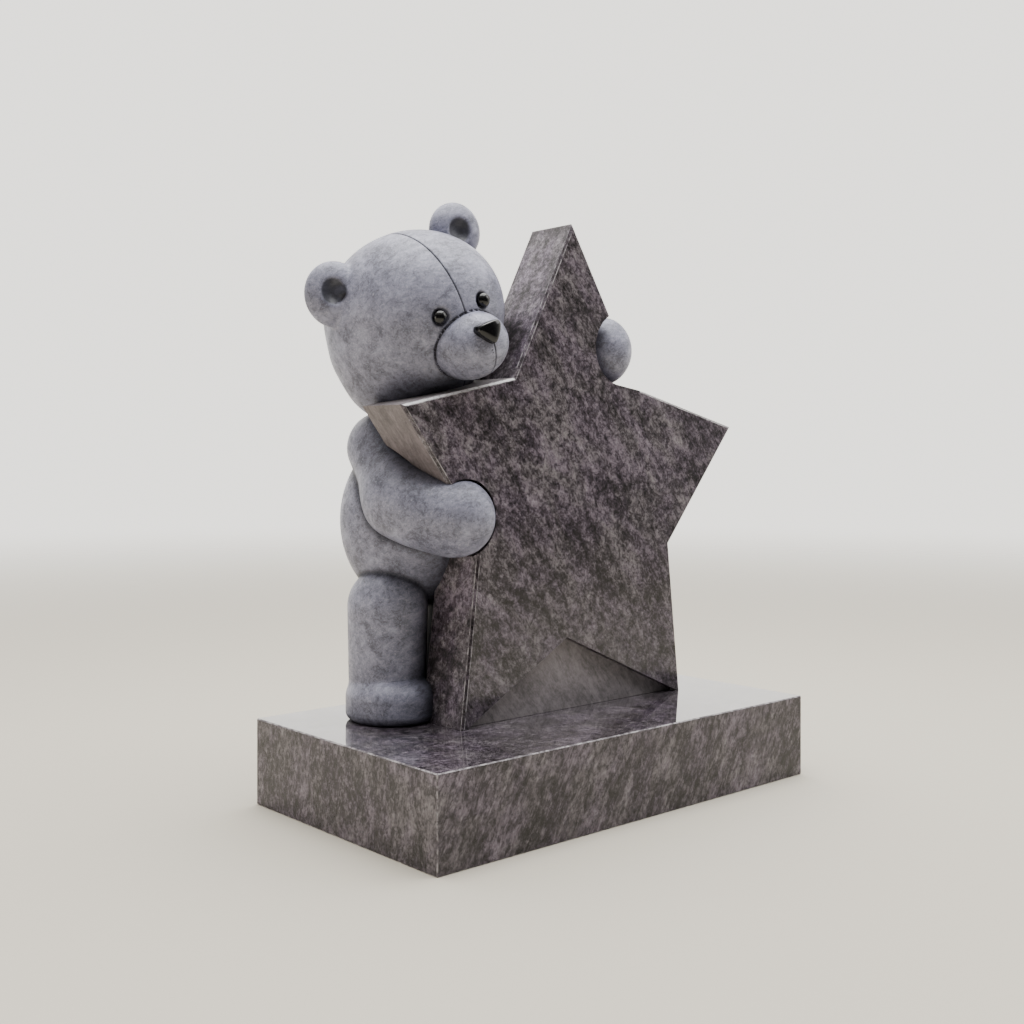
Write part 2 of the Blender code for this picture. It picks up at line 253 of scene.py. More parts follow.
def along(corner_a, corner_b, share):
    """A point part of the way from one corner of the star to another."""
    return star_point(STAR_CORNERS[corner_a]).lerp(star_point(STAR_CORNERS[corner_b]), share)


def bear(share):
    """A length of the bear from its share of the bear's height."""
    return share * BEAR_HEIGHT


def head_frame():
    """The head's centre and turn: its chin lies on the star's arm, its cheek on the spike."""
    notch = star_point(STAR_CORNERS["left_notch"])
    centre = Vector((notch.x - bear(0.120), BACK_Y + bear(0.028), notch.z + bear(0.121)))
    turn = Matrix.Rotation(HEAD_YAW, 3, "Z") @ Matrix.Rotation(-HEAD_ROLL, 3, "Y")
    return centre, turn


def head_point(x, y, z):
    """A place on the head from its shares: x to the bear's left, y to the back, z up."""
    centre, turn = head_frame()
    return centre + turn @ Vector((bear(x), bear(y), bear(z)))


def near_arm():
    """Points and radii of the arm that comes under the star's left arm to its face."""
    waist = star_point(STAR_CORNERS["left_waist"])
    shoulder = Vector((waist.x - bear(0.073), BACK_Y + bear(0.076), waist.z + bear(0.163)))
    elbow = Vector((waist.x - bear(0.100), MIDDLE_Y + bear(0.048), waist.z + bear(0.066)))
    wrist = Vector((waist.x - bear(0.078), MIDDLE_Y - bear(0.002), waist.z + bear(0.045)))
    paw = Vector((waist.x - bear(0.032), FACE_Y + bear(0.032), waist.z + bear(0.035)))
    return [shoulder, elbow, wrist, paw], [bear(0.070), bear(0.060), bear(0.057), bear(0.062)]


def far_paw_centre():
    """The middle of the far paw, on the spike's right edge."""
    edge = along("apex", "right_notch", FAR_PAW_PLACE)
    return Vector((edge.x, MIDDLE_Y - bear(0.002), edge.z))


def body_centre():
    """The middle of the torso, above and behind the star's left foot."""
    foot_corner = star_point(STAR_CORNERS["left_foot"])
    return Vector((foot_corner.x + bear(0.041), BACK_Y + bear(0.073), BED_Z + bear(0.376)))


def far_arm():
    """Points and radii of the arm that goes behind the spike to its right edge."""
    body = body_centre()
    paw = far_paw_centre()
    shoulder = Vector((body.x + bear(0.100), BACK_Y + bear(0.090), body.z + bear(0.155)))
    elbow = Vector((body.x + bear(0.235), BACK_Y + bear(0.062), body.z + bear(0.230)))
    wrist = Vector((paw.x - bear(0.020), BACK_Y + bear(0.010), paw.z - bear(0.022)))
    return [shoulder, elbow, wrist, paw], [bear(0.070), bear(0.058), bear(0.055), bear(0.050)]


def leg(side):
    """Hip, ankle and toe of one leg; side is -1 for the bear's right and 1 for its left."""
    x = body_centre().x + bear(0.009) + side * bear(0.078)
    y = BACK_Y + bear(0.068)
    hip = Vector((x + side * bear(0.012), y - bear(0.018), BED_Z + bear(0.214)))
    ankle = Vector((x, y, BED_Z + bear(0.055)))
    toe = Vector((x + side * bear(0.003), y - bear(0.017), BED_Z))
    return hip, ankle, toe


# Distance from a point to a carved form, negative inside. Points come as an array of rows


def to_ball(points, centre, radii, turn=None):
    """Distance to a ball form with three radii."""
    local = points - np.array(centre)
    if turn is not None:
        local = local @ np.array(turn)
    radii = np.array(radii)
    whole = np.linalg.norm(local / radii, axis=1)
    slope = np.linalg.norm(local / radii**2, axis=1)
    return whole * (whole - 1.0) / np.maximum(slope, 1e-6)


def to_bar(points, start, end, start_radius, end_radius):
    """Distance to a tapered round bar."""
    start, way = np.array(start), np.array(end - start)
    share = np.clip((points - start) @ way / (way @ way), 0.0, 1.0)
    axis_point = start + share[:, None] * way
    radius = start_radius + (end_radius - start_radius) * share
    return np.linalg.norm(points - axis_point, axis=1) - radius


def to_pad(points, toe, half_width, half_length, height, turn):
    """Distance to a foot: a pad, flat below, with a round upper edge."""
    local = (points - np.array(toe)) @ np.array(Matrix.Rotation(turn, 3, "Z"))
    reach = np.hypot(local[:, 0], local[:, 1] * half_width / half_length)
    middle, upper_edge, lower_edge = height * 0.45, height * 0.48, height * 0.18
    edge = np.where(local[:, 2] > middle, upper_edge, lower_edge)
    out = reach - (half_width - edge)
    up = np.abs(local[:, 2] - height / 2) - (height / 2 - edge)
    outside = np.hypot(np.maximum(out, 0.0), np.maximum(up, 0.0))
    return outside + np.minimum(np.maximum(out, up), 0.0) - edge


def soft_join(one, other, softness):
    """The nearer of two forms, with the crease between them filled softly."""
    mix = np.clip(0.5 + 0.5 * (other - one) / softness, 0.0, 1.0)
    return other * (1 - mix) + one * mix - softness * mix * (1 - mix)


def soft_cut(form, cutter, softness):
    """A form with the cutter taken out of it, and the edge between them eased."""
    return -soft_join(-form, cutter, softness)


def to_limb(points, places, radii, softness):
    """Distance to a limb whose bars run into each other."""
    distance = None
    for start, end, start_radius, end_radius in zip(places, places[1:], radii, radii[1:]):
        bar = to_bar(points, start, end, start_radius, end_radius)
        distance = bar if distance is None else soft_join(distance, bar, softness)
    return distance


def skull_balls():
    """Centres and radii of the cranium, the cheeks and the chin."""
    return [(head_point(*place), [bear(s) for s in shares]) for place, shares in SKULL_BALLS]


def to_skull(points):
    """Distance to the cranium, the cheeks and the chin as one form."""
    turn = head_frame()[1]
    distance = None
    for centre, radii in skull_balls():
        ball = to_ball(points, centre, radii, turn)
        distance = ball if distance is None else soft_join(distance, ball, bear(0.006))
    return distance


def to_muzzle(points):
    """Distance to the muzzle."""
    turn = head_frame()[1]
    return to_ball(points, head_point(*MUZZLE_SEAT), [bear(s) for s in MUZZLE_SHARES], turn)


def head_local(points):
    """Points as seen from the head: x to the bear's left, y to the back, z up."""
    centre, turn = head_frame()
    return (points - np.array(centre)) @ np.array(turn)


def seam_distance(points, ring_ease):
    """Distance over the surface to the nearest carved seam of the head."""
    local = head_local(points)
    muzzle = to_muzzle(points)
    skull = to_skull(points)
    ring = np.maximum(np.hypot(muzzle, skull) - ring_ease, 0.0)
    crown = np.where(muzzle > 0.0, np.abs(local[:, 0]), 1.0)
    under_nose = (local[:, 1] < bear(MOUTH_FRONT)) & (local[:, 2] < bear(MOUTH_TOP))
    mouth = np.where(under_nose, np.abs(local[:, 0] - bear(MOUTH_X)), 1.0)
    return np.minimum(np.minimum(ring, crown), mouth)


def ear_fronts():
    """The middle of each ear's dish."""
    return [head_point(*place) for place in EAR_DISHES]


def to_head(points, sizes, seams):
    """Distance to the whole head, with its seams cut where they are wanted."""
    turn = head_frame()[1]
    dish_depth, dish_ease, rim_reach, rim_ease = 0.55, bear(0.008), 1.035, bear(0.004)
    distance = to_skull(points)
    for (place, share), front in zip(EARS, ear_fronts()):
        radii = (bear(share), bear(EAR_THICKNESS / 2), bear(share))
        ear = to_ball(points, head_point(*place), radii, turn)
        dish = (sizes.ear_dish, sizes.ear_dish * dish_depth, sizes.ear_dish)
        ear = soft_cut(ear, to_ball(points, front, dish, turn), dish_ease)
        distance = soft_join(distance, ear, sizes.crease * EAR_CREASE)
    for side in (-1, 1):
        x, y, z = EYE_SEAT
        rim = to_ball(points, head_point(side * x, y * rim_reach, z), [bear(EYE_RIM)] * 3, turn)
        distance = soft_cut(distance, rim, rim_ease)
    distance = soft_join(distance, to_muzzle(points), sizes.crease * MUZZLE_CREASE)
    if seams:
        reach = seam_distance(points, sizes.ring_ease) / (sizes.seam_width / 2)
        cut = np.exp(-(reach**2))
        distance = distance + sizes.seam_depth * cut
    return distance


def body_parts(points, sizes):
    """Distances to the torso, the two legs and the two arms, each on its own."""
    parts = [to_ball(points, body_centre(), [bear(s) for s in TORSO_SHARES])]
    for side in (-1, 1):
        hip, ankle, toe = leg(side)
        limb = to_bar(points, hip, ankle, bear(HIP_SHARE), bear(ANKLE_SHARE))
        pad = to_pad(points, toe, *(bear(s) for s in FOOT_SHARES), side * FOOT_SPLAY)
        parts.append(soft_join(limb, pad, sizes.crease))
    near_paw = [bear(PAW_SHARE)] * 3
    far_paw = [bear(s) for s in FAR_PAW_SHARES]
    for (places, radii), paw_radii, arm_ease, paw_ease in (
        (near_arm(), near_paw, bear(0.045), bear(0.03)),
        (far_arm(), far_paw, bear(0.03), bear(0.02)),
    ):
        arm = to_limb(points, places, radii, arm_ease)
        parts.append(soft_join(arm, to_ball(points, places[-1], paw_radii), paw_ease))
    return parts


def to_body(points, sizes):
    """Distance to the torso, the arms and the legs."""
    parts = body_parts(points, sizes)
    distance = parts[0]
    for part in parts[1:]:
        distance = soft_join(distance, part, sizes.crease * BODY_CREASE)
    return distance


def star_distance(points):
    """Distance from each point to the star's slab, zero inside it."""
    flat = points[:, [0, 2]]
    corners = np.array([(corner.x, corner.z) for corner in star_outline()])
    apart = np.full(len(flat), np.inf)
    inside = np.zeros(len(flat), dtype=bool)
    for one, other in zip(corners, np.roll(corners, -1, axis=0)):
        way = other - one
        share = np.clip((flat - one) @ way / (way @ way), 0.0, 1.0)
        apart = np.minimum(apart, np.linalg.norm(flat - one - share[:, None] * way, axis=1))
        crosses = (one[1] > flat[:, 1]) != (other[1] > flat[:, 1])
        slope = way[0] / way[1] if way[1] else 0.0
        inside ^= crosses & (flat[:, 0] < one[0] + (flat[:, 1] - one[1]) * slope)
    apart[inside] = 0.0
    deep = np.maximum(np.abs(points[:, 1] - MIDDLE_Y) - STAR_THICKNESS / 2, 0.0)
    return np.hypot(apart, deep)


def star_painted_shade(points, sizes):
    """How close the bear's skin lies to the star, from 0 to 1, for the shade painted there.

    Points to the right of the apex, on the far paw, get none.
    """
    occlusion_shade = np.exp(-((star_distance(points) / sizes.star_shade) ** 2))
    occlusion_shade[points[:, 0] > star_point(STAR_CORNERS["apex"]).x] = 0.0
    return occlusion_shade


def body_star_painted_shade(points, sizes):
    """The painted shade by the star on the body, with none in front of the star or down on the
    plinth.
    """
    depth, height, clear = bear(0.04), bear(0.10), 0.8
    behind = np.clip((points[:, 1] - FACE_Y) / depth, 0.0, 1.0)
    raised = np.clip((points[:, 2] - BED_Z) / height - clear, 0.0, 1.0)
    return star_painted_shade(points, sizes) * behind * raised


def painted_crease_shade(points, sizes):
    """Painted shade on the body: how deep a point lies in a crease or between the legs, from 0 to
    1.
    """
    parts = np.stack(body_parts(points, sizes))
    second = np.maximum(np.sort(parts, axis=0)[1], 0.0)
    other_leg = np.maximum(np.maximum(parts[1], parts[2]), 0.0)
    crease = np.exp(-((second / sizes.crease_shade) ** 2))
    return np.maximum(crease, np.exp(-((other_leg / sizes.leg_shade) ** 4)))


# Meshes


def new_object(name, bm, materials):
    """A finished mesh as an object, with its place in the mesh."""
    mesh = bpy.data.meshes.new(name)
    bm.to_mesh(mesh)
    bm.free()
    for material in materials:
        mesh.materials.append(material)
    obj = bpy.data.objects.new(name, mesh)
    bpy.context.scene.collection.objects.link(obj)
    return obj


def finish_piece(obj, node):
    """Let a piece stand for its CAD node, on the headstone's only body."""
    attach(obj, "root")
    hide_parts(node)


def add_ball(bm, centre, radii, turn=None, segments=48):
    """A ball form with three radii, turned about its centre."""
    if turn is None:
        turn = Matrix.Identity(3)
    place = Matrix.Translation(centre) @ turn.to_4x4() @ Matrix.Diagonal((*radii, 1.0))
    ball = bmesh.new()
    bmesh.ops.create_uvsphere(
        ball, u_segments=segments, v_segments=segments // 2, radius=1.0, matrix=place
    )
    part = bpy.data.meshes.new("ball")
    ball.to_mesh(part)
    ball.free()
    bm.from_mesh(part)
    bpy.data.meshes.remove(part)


def add_string(bm, places, radii, beads=9):
    """A row of balls through the points of a limb, which the remesh fuses."""
    for start, end, start_radius, end_radius in zip(places, places[1:], radii, radii[1:]):
        for k in range(beads + 1):
            share = k / beads
            radius = start_radius + (end_radius - start_radius) * share
            add_ball(bm, start.lerp(end, share), [radius] * 3, segments=24)


def apply_modifiers(obj):
    """Replace the object's mesh with what its modifiers make of it."""
    graph = bpy.context.evaluated_depsgraph_get()
    result = bpy.data.meshes.new_from_object(obj.evaluated_get(graph))
    obj.modifiers.clear()
    obj.data = result
    return obj


def fuse(obj, cell):
    """Fuse overlapping balls into one skin of even squares."""
    remesh = obj.modifiers.new("fuse", "REMESH")
    remesh.mode = "VOXEL"
    remesh.voxel_size = cell
    return apply_modifiers(obj)


def read_points(mesh):
    """The mesh's points as an array of rows."""
    points = np.empty(len(mesh.vertices) * 3)
    mesh.vertices.foreach_get("co", points)
    return points.reshape(-1, 3)


def carve(mesh, distance, passes=3):
    """Move each point of the skin along the form's slope until it lies on the form."""
    points = read_points(mesh)
    probe = 0.0002
    steps = np.eye(3) * probe
    for _ in range(passes):
        here = distance(points)
        slope = np.stack([distance(points + s) - here for s in steps], axis=1)
        slope /= np.maximum(np.linalg.norm(slope, axis=1, keepdims=True), 1e-9)
        points -= slope * here[:, None]
    mesh.vertices.foreach_set("co", points.ravel())
    mesh.update()


def keep_inside(mesh):
    """Trim the skin to the carving's own bounds, so that it lies flat on the bed."""
    points = np.clip(read_points(mesh), np.array(CARVING_LOW), np.array(CARVING_HIGH))
    mesh.vertices.foreach_set("co", points.ravel())
    mesh.update()
    return points


def refine(mesh, near):
    """Halve the squares close to a seam, once for each band."""
    for reach in SEAM_BANDS:
        marked = near(read_points(mesh)) < reach
        bm = bmesh.new()
        bm.from_mesh(mesh)
        bm.verts.ensure_lookup_table()
        edges = [e for e in bm.edges if marked[e.verts[0].index] and marked[e.verts[1].index]]
        bmesh.ops.subdivide_edges(bm, edges=edges, cuts=1, use_grid_fill=True)
        bmesh.ops.triangulate(bm, faces=[f for f in bm.faces if len(f.verts) > 4])
        bm.to_mesh(mesh)
        bm.free()


def write_mask(mesh, name, values):
    """Keep a number from 0 to 1 on each point for the material to read."""
    mask = mesh.attributes.new(name, "FLOAT", "POINT")
    mask.data.foreach_set("value", np.clip(values, 0.0, 1.0).astype(np.float32))


def chamfer(bm, edges, width):
    """Take an arris off the given edges and return its faces."""
    made = bmesh.ops.bevel(
        bm,
        geom=edges,
        offset=width,
        offset_type="OFFSET",
        segments=1,
        profile=0.5,
        affect="EDGES",
        material=-1,
    )
    return made["faces"]


def edge_highlight(bm, width, y_limit):
    """A fine painted highlight along the cut edges in front of a plane, and beside the bear's
    belly.

    The highlight is a pale material on a narrow bevel.
    """
    waist = star_point(STAR_CORNERS["left_waist"])
    slack = 0.004
    sharp = []
    for edge in bm.edges:
        corners = [v.co for v in edge.verts]
        front = all(c.y < y_limit for c in corners)
        low_left = all(c.x < waist.x + slack and c.z < waist.z + slack for c in corners)
        belly = low_left and all(c.y > y_limit for c in corners)
        if (front or belly) and edge.calc_face_angle(0.0) > SHARP_TURN:
            sharp.append(edge)
    for face in chamfer(bm, sharp, width):
        face.material_index = EDGE_HIGHLIGHT


def prism(outline, y_front, y_back):
    """A closed block between two planes across Y, from a list of outline points."""
    bm = bmesh.new()
    front = [bm.verts.new((p.x, y_front, p.z)) for p in outline]
    face = bm.faces.new(front)
    extruded = bmesh.ops.extrude_face_region(bm, geom=[face])
    back = [v for v in extruded["geom"] if isinstance(v, bmesh.types.BMVert)]
    bmesh.ops.translate(bm, verts=back, vec=(0.0, y_back - y_front, 0.0))
    bmesh.ops.recalc_face_normals(bm, faces=bm.faces)
    return bm


def cut(target, bm):
    """Cut a closed form out of the target."""
    tool = new_object("tool", bm, [])
    change = target.modifiers.new("cut", "BOOLEAN")
    change.operation = "DIFFERENCE"
    change.solver = "MANIFOLD"
    change.object = tool
    apply_modifiers(target)
    bpy.data.objects.remove(tool, do_unlink=True)


# Stones

# The Mix node's sockets go by number, because their names repeat
SHARE, NUMBER_A, NUMBER_B, COLOUR_A, COLOUR_B = 0, 2, 3, 6, 7
MIXED_NUMBER, MIXED_COLOUR = 0, 2
MIX = {"data_type": "RGBA"}
TINT = {"data_type": "RGBA", "blend_type": "MULTIPLY", SHARE: 1.0}
BLACK = (0.0, 0.0, 0.0)
WHITE = (1.0, 1.0, 1.0)


def set_stops(elements, stops):
    """Set the places and colours of a colour ramp."""
    while len(elements) < len(stops):
        elements.new(0.5)
    for element, (place, colour) in zip(elements, stops):
        element.position = place
        element.color = (*colour, 1.0)


def add(tree, kind, settings=None, links=None):
    """Add a node, set its properties, colour stops and sockets, and link its inputs."""
    node = tree.nodes.new(kind)
    for name, value in (settings or {}).items():
        if name == "stops":
            set_stops(node.color_ramp.elements, value)
        elif isinstance(name, str) and hasattr(node, name):
            setattr(node, name, value)
        else:
            node.inputs[name].default_value = value
    for socket, source in (links or {}).items():
        tree.links.new(source, node.inputs[socket])
    return node


def new_stone(name):
    """An empty material with its surface shader and Object coordinates."""
    material = bpy.data.materials.new(name)
    material.use_nodes = True
    tree = material.node_tree
    shader = tree.nodes["Principled BSDF"]
    place = add(tree, "ShaderNodeTexCoord").outputs["Object"]
    return material, tree, shader, place


def grain(tree, place, size_mm, flow=(0.0, 0.0, 0.0), long=1.0, detail=3.0, rough=0.55, warp=0.0):
    """A noise whose patches are size_mm across and long times as long along the flow."""
    size = size_mm / 1000
    mapped = add(
        tree,
        "ShaderNodeMapping",
        {"vector_type": "TEXTURE", "Rotation": flow, "Scale": (size, size, size * long)},
        {"Vector": place},
    )
    return add(
        tree,
        "ShaderNodeTexNoise",
        {"Scale": 1.0, "Detail": detail, "Roughness": rough, "Distortion": warp},
        {"Vector": mapped.outputs["Vector"]},
    ).outputs["Fac"]


def layered(tree, figure, *layers):
    """A figure with more noises laid over it, each by its own share."""
    for layer, share in layers:
        mix = add(
            tree,
            "ShaderNodeMix",
            {"data_type": "FLOAT", SHARE: share},
            {NUMBER_A: figure, NUMBER_B: layer},
        )
        figure = mix.outputs[MIXED_NUMBER]
    return figure


def granite_figure(tree, place, flow, streaks):
    """The flow of the granite: blotches, crystals and streaks across the block.

    Real crystals are 1 to 4 mm, and they gather in clouds some 60 mm across.
    """
    blotch = grain(tree, place, 9.0, flow, 1.3, detail=5.0, rough=0.72, warp=0.5)
    crystal = grain(tree, place, 2.6, flow, 1.3, detail=3.0, rough=0.7)
    streak = grain(tree, place, 5.0, flow, 5.0, detail=4.0, rough=0.7, warp=0.8)
    cloud = grain(tree, place, 34.0, flow, 2.6, detail=4.0, rough=0.6, warp=0.6)
    return layered(tree, blotch, (crystal, 0.35), (streak, streaks), (cloud, 0.27))


def granite_colours(tree, place, figure, colours, flow):
    """Near-black, lilac grey and a few pale crystals, with patches that lean to grey green."""
    crystals = [
        (0.43, colours.crystal_dark),
        (0.49, colours.crystal_mid),
        (0.56, colours.crystal_light),
        (0.64, colours.crystal_pale),
    ]
    base = add(tree, "ShaderNodeValToRGB", {"stops": crystals}, {"Fac": figure}).outputs["Color"]
    patch = grain(tree, place, 38.0, flow, 1.8, detail=3.0, rough=0.6, warp=0.4)
    hues = [(0.42, linear("#f4f7f0")), (0.58, linear("#f8f4fa"))]
    mica = grain(tree, place, 5.5, flow, 1.4, detail=3.0, rough=0.65, warp=1.0)
    shades = [(0.40, (0.50, 0.50, 0.52)), (0.50, WHITE)]
    for noise, stops in ((patch, hues), (mica, shades)):
        veil = add(tree, "ShaderNodeValToRGB", {"stops": stops}, {"Fac": noise}).outputs["Color"]
        mix = add(tree, "ShaderNodeMix", TINT, {COLOUR_A: base, COLOUR_B: veil})
        base = mix.outputs[MIXED_COLOUR]
    return base


def polished_granite(name, colours, flow, streaks, roughness, coat=0.0, lift=1.0):
    """Granite ground and polished to a mirror: deep colour, sharp reflections.

    The eye sees dark and lilac-grey crystals under a clear gloss. The lift lightens or darkens the
    whole colour; on the star's sides it stands partly for a shallower polish, partly for painted
    light.
    """
    material, tree, shader, place = new_stone(name)
    figure = granite_figure(tree, place, flow, streaks)
    base = granite_colours(tree, place, figure, colours, flow)
    lifted = {**TINT, COLOUR_B: (lift, lift, lift, 1.0)}
    mix = add(tree, "ShaderNodeMix", lifted, {COLOUR_A: base})
    tree.links.new(mix.outputs[MIXED_COLOUR], shader.inputs["Base Color"])
    shader.inputs["Roughness"].default_value = roughness
    shader.inputs["IOR"].default_value = 1.42
    shader.inputs["Coat Weight"].default_value = coat
    shader.inputs["Coat Roughness"].default_value = 0.03
    return material


def edge_highlight_stone(colours):
    """A cut edge's painted highlight: a fine pale line, broken by speckle."""
    material, tree, shader, place = new_stone("painted_edge_highlight")
    speck = grain(tree, place, 9.0, detail=4.0, rough=0.7)
    stops = [(0.44, colours.crystal_mid), (0.58, colours.edge_highlight_colour)]
    base = add(tree, "ShaderNodeValToRGB", {"stops": stops}, {"Fac": speck})
    tree.links.new(base.outputs["Color"], shader.inputs["Base Color"])
    shader.inputs["Roughness"].default_value = 0.4
    return material


def arris_with_sky_glint(colours):
    """An arris ground by hand and left unpolished, paler than the faces, with the sky's reflection
    painted in as near white.
    """
    material, tree, shader, place = new_stone("ground_arris_painted_sky")
    speck = grain(tree, place, 5.0, detail=4.0, rough=0.7)
    dim = tuple(c * 0.55 for c in colours.arris)
    stops = [(0.36, dim), (0.5, colours.arris)]
    base = add(tree, "ShaderNodeValToRGB", {"stops": stops}, {"Fac": speck})
    tree.links.new(base.outputs["Color"], shader.inputs["Base Color"])
    shader.inputs["Roughness"].default_value = 0.45
    return material


def sawn_granite(name, colour):
    """A honed face of the slab: no gloss, so the stone looks paler and browner."""
    material, tree, shader, place = new_stone(name)
    figure = granite_figure(tree, place, STAR_FLOW, 0.4)
    low = tuple(c * 0.40 for c in colour)
    stops = [(0.42, low), (0.58, colour)]
    base = add(tree, "ShaderNodeValToRGB", {"stops": stops}, {"Fac": figure})
    tree.links.new(base.outputs["Color"], shader.inputs["Base Color"])
    shader.inputs["Roughness"].default_value = 0.5
    return material


def honed_granite(colours):
    """Granite rubbed by hand with fine grit: soft clouds, short hatch marks and a low sheen.

    The ear dishes are rubbed further, so they look darker. Shade is painted into the seams,
    the creases, between the legs and beside the star from a mask, and an occlusion node paints
    shade into every hollow; the sheen drops where shade is painted.
    """
    material, tree, shader, place = new_stone("hand_honed_granite")
    cloud = grain(tree, place, 22.0, HATCH_FLOW, 1.8, detail=3.0, rough=0.55, warp=0.6)
    patch = grain(tree, place, 5.0, HATCH_FLOW, 1.8, detail=6.0, rough=0.75, warp=0.8)
    speck = grain(tree, place, 1.7, detail=3.0, rough=0.7)
    hatch = grain(tree, place, 2.6, HATCH_FLOW, 3.0, detail=4.0, rough=0.6, warp=0.8)
    figure = layered(tree, cloud, (patch, 0.55), (speck, 0.18))
    dim, less_dim = ([c * share for c in colours.honed_dark] for share in (0.25, 0.60))
    # Painted shade: the occlusion node darkens every hollow and the skin under the head and the
    # star
    occlusion_shade = add(tree, "ShaderNodeAmbientOcclusion", {"samples": 8, "Distance": 0.06})
    base, fleck, dark, shade = (
        add(tree, "ShaderNodeValToRGB", {"stops": stops}, {"Fac": source}).outputs["Color"]
        for source, stops in (
            (figure, [(0.41, colours.honed_dark), (0.60, colours.honed_light)]),
            (hatch, [(0.58, BLACK), (0.74, (0.55, 0.55, 0.55))]),
            (figure, [(0.40, dim), (0.60, less_dim)]),
            (occlusion_shade.outputs["AO"], [(0.15, (0.30, 0.30, 0.32)), (0.80, WHITE)]),
        )
    )
    dish = add(tree, "ShaderNodeAttribute", {"attribute_name": "rubbed"}).outputs["Fac"]
    # This mask carries painted shade: near black in the seams and the creases, fainter beside the
    # star
    seam = add(tree, "ShaderNodeAttribute", {"attribute_name": "seam"}).outputs["Fac"]
    for settings, links in (
        ({**MIX, COLOUR_B: (*colours.honed_fleck, 1.0)}, {SHARE: fleck}),
        (MIX, {SHARE: dish, COLOUR_B: dark}),
        ({**MIX, COLOUR_B: (*colours.inlay, 1.0)}, {SHARE: seam}),
        (TINT, {COLOUR_B: shade}),
    ):
        mix = add(tree, "ShaderNodeMix", settings, {**links, COLOUR_A: base})
        base = mix.outputs[MIXED_COLOUR]
    tree.links.new(base, shader.inputs["Base Color"])
    sheen = add(tree, "ShaderNodeMapRange", {"To Min": 0.5, "To Max": 0.0}, {"Value": seam})
    tree.links.new(sheen.outputs["Result"], shader.inputs["Specular IOR Level"])
    gloss = add(
        tree,
        "ShaderNodeMapRange",
        {"From Min": 0.40, "From Max": 0.60, "To Min": 0.50, "To Max": 0.38},
        {"Value": figure},
    )
    tree.links.new(gloss.outputs["Result"], shader.inputs["Roughness"])
    bump = add(
        tree, "ShaderNodeBump", {"Strength": 0.12, "Distance": 0.0006}, {"Height": figure}
    )
    tree.links.new(bump.outputs["Normal"], shader.inputs["Normal"])
    return material


def black_inlay(colours):
    """Black stone polished to a mirror, so the eye sees only highlights on black."""
    material, tree, shader, place = new_stone("mirror_polished_black_stone")
    speck = grain(tree, place, 1.5, detail=2.0)
    lift = tuple(c * 1.9 for c in colours.inlay)
    stops = [(0.5, colours.inlay), (0.75, lift)]
    base = add(tree, "ShaderNodeValToRGB", {"stops": stops}, {"Fac": speck})
    tree.links.new(base.outputs["Color"], shader.inputs["Base Color"])
    shader.inputs["Roughness"].default_value = 0.05
    shader.inputs["IOR"].default_value = 1.5
    return material


def stone(name, make, *values):
    """The named material, made once and shared by the pieces."""
    return bpy.data.materials.get(name) or make(*values)


# Pieces


class HEADSTONE_OT_plinth(bpy.types.Operator):
    """Make the plinth: a sawn block with polished faces and fine arrises"""

    bl_idname = "headstone.plinth"
    bl_label = "Plinth"

    def execute(self, context):
        sizes = context.scene.headstone_sizes
        colours = context.scene.headstone_colours
        bm = bmesh.new()
        middle = (PLINTH_LOW + PLINTH_HIGH) / 2
        place = Matrix.Translation(middle) @ Matrix.Diagonal((*(PLINTH_HIGH - PLINTH_LOW), 1.0))
        bmesh.ops.create_cube(bm, size=1.0, matrix=place)
        # Every arris of the plinth carries the painted edge highlight
        for face in chamfer(bm, list(bm.edges), sizes.plinth_chamfer):
            face.material_index = EDGE_HIGHLIGHT
        bmesh.ops.recalc_face_normals(bm, faces=bm.faces)
        top = max(bm.faces, key=lambda face: face.calc_center_median().z)
        top.material_index = PLINTH_TOP
        name, top_name = "polished_plinth_granite", "polished_plinth_top_granite"
        materials = [
            stone(name, polished_granite, name, colours, PLINTH_FLOW, 0.45, 0.07, 0.0, 0.9),
            stone("painted_edge_highlight", edge_highlight_stone, colours),
            stone(top_name, polished_granite, top_name, colours, PLINTH_FLOW, 0.45, 0.05, 1.0),
        ]
        plinth = new_object("plinth_stone", bm, materials)
        finish_piece(plinth, "plinth")
        return {"FINISHED"}


def star_outline():
    """The star's corners, with its feet run on below the bed so that they are cut flat."""
    outline = []
    for name, share in STAR_CORNERS.items():
        corner = star_point(share)
        if name in ("left_foot", "right_foot"):
            waist = star_point(STAR_CORNERS[name.replace("foot", "waist")])
            corner += (corner - waist).normalized() * SPARE
        outline.append(corner)
    return outline


def panel_outline():
    """The triangle between the star's feet, run on below the bed."""
    crotch = star_point(CROTCH)
    toe = Vector((FOOT_TOE, 0.0, 0.0))
    left = star_point(STAR_CORNERS["left_foot"]) + toe
    right = star_point(STAR_CORNERS["right_foot"]) - toe
    left += (left - crotch).normalized() * SPARE * 4
    right += (right - crotch).normalized() * SPARE * 4
    return [left, crotch, right]


def bite_outline():
    """The hollow for the far paw: an arc into the spike that runs out over the right arm."""
    centre = far_paw_centre() - Vector((bear(0.010), 0.0, 0.0))
    steps = 40
    outline = []
    for k in range(steps + 1):
        angle = pi * (0.45 + k / steps)
        outline.append(centre + Vector((cos(angle), 0.0, sin(angle))) * BITE_RADIUS)
    arm_edge = along("right_notch", "right_tip", 0.06)
    return outline + [arm_edge, arm_edge + Vector((0.0, 0.0, BITE_RADIUS * 2))]


